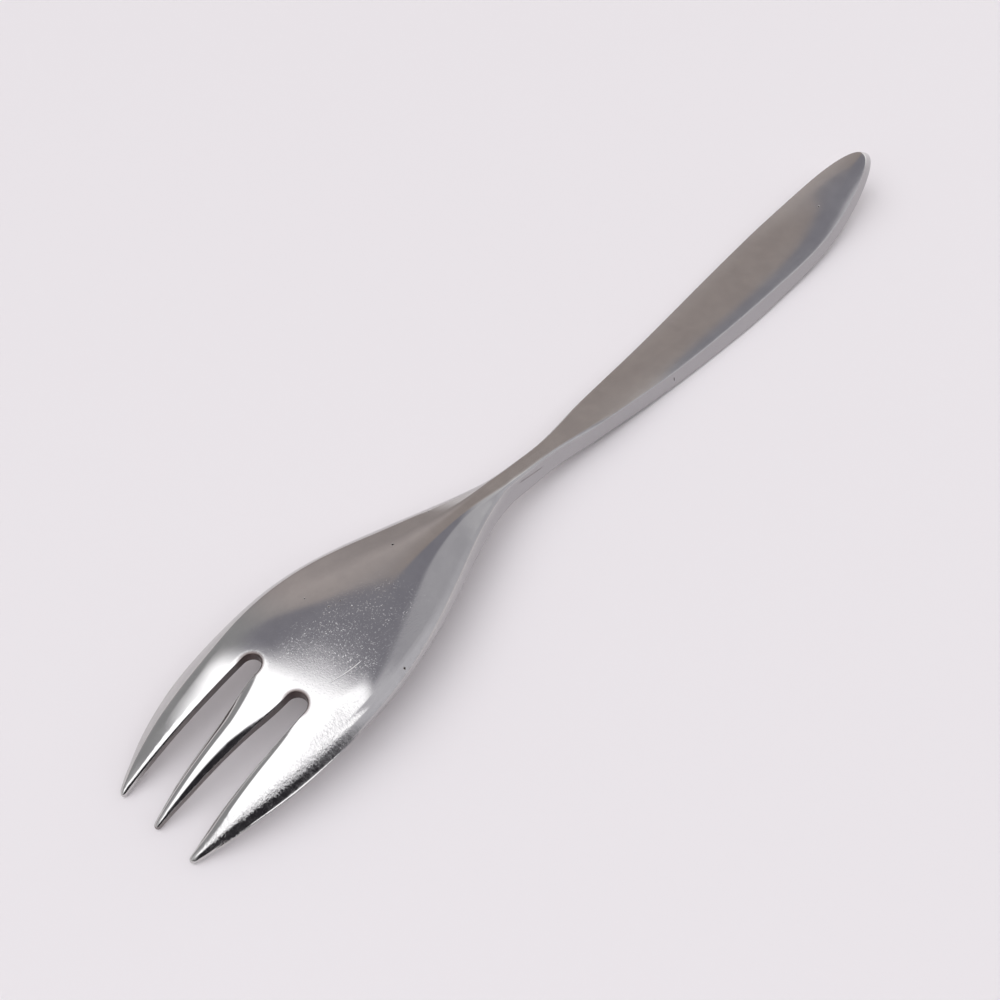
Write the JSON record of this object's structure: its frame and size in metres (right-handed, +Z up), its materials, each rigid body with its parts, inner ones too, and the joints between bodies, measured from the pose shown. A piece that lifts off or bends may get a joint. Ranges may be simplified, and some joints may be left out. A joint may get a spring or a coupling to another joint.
{
  "type": "salad fork",
  "caption": "Salad fork lying face down, with curved tapering tines, a domed palm, a ridged waisted neck and a flat-backed handle that ends in a rounded tip, in stainless steel.",
  "frame": {"origin": "on the table, under the middle of the fork's length and width", "axes": "+X along the fork from the tine tips to the handle end, +Y to the left seen from above with the handle end ahead, +Z up from the table through the back of the fork"},
  "size_m": [0.167, 0.0244, 0.0105],
  "materials": {
    "steel": "satin-ground back on the handle, turning to worn polish on the palm and tines"
  },
  "bodies": {
    "root": {"handle": "steel", "neck": "steel", "bowl": "steel", "left_tine": "steel", "middle_tine": "steel", "right_tine": "steel"}
  },
  "joints": []
}
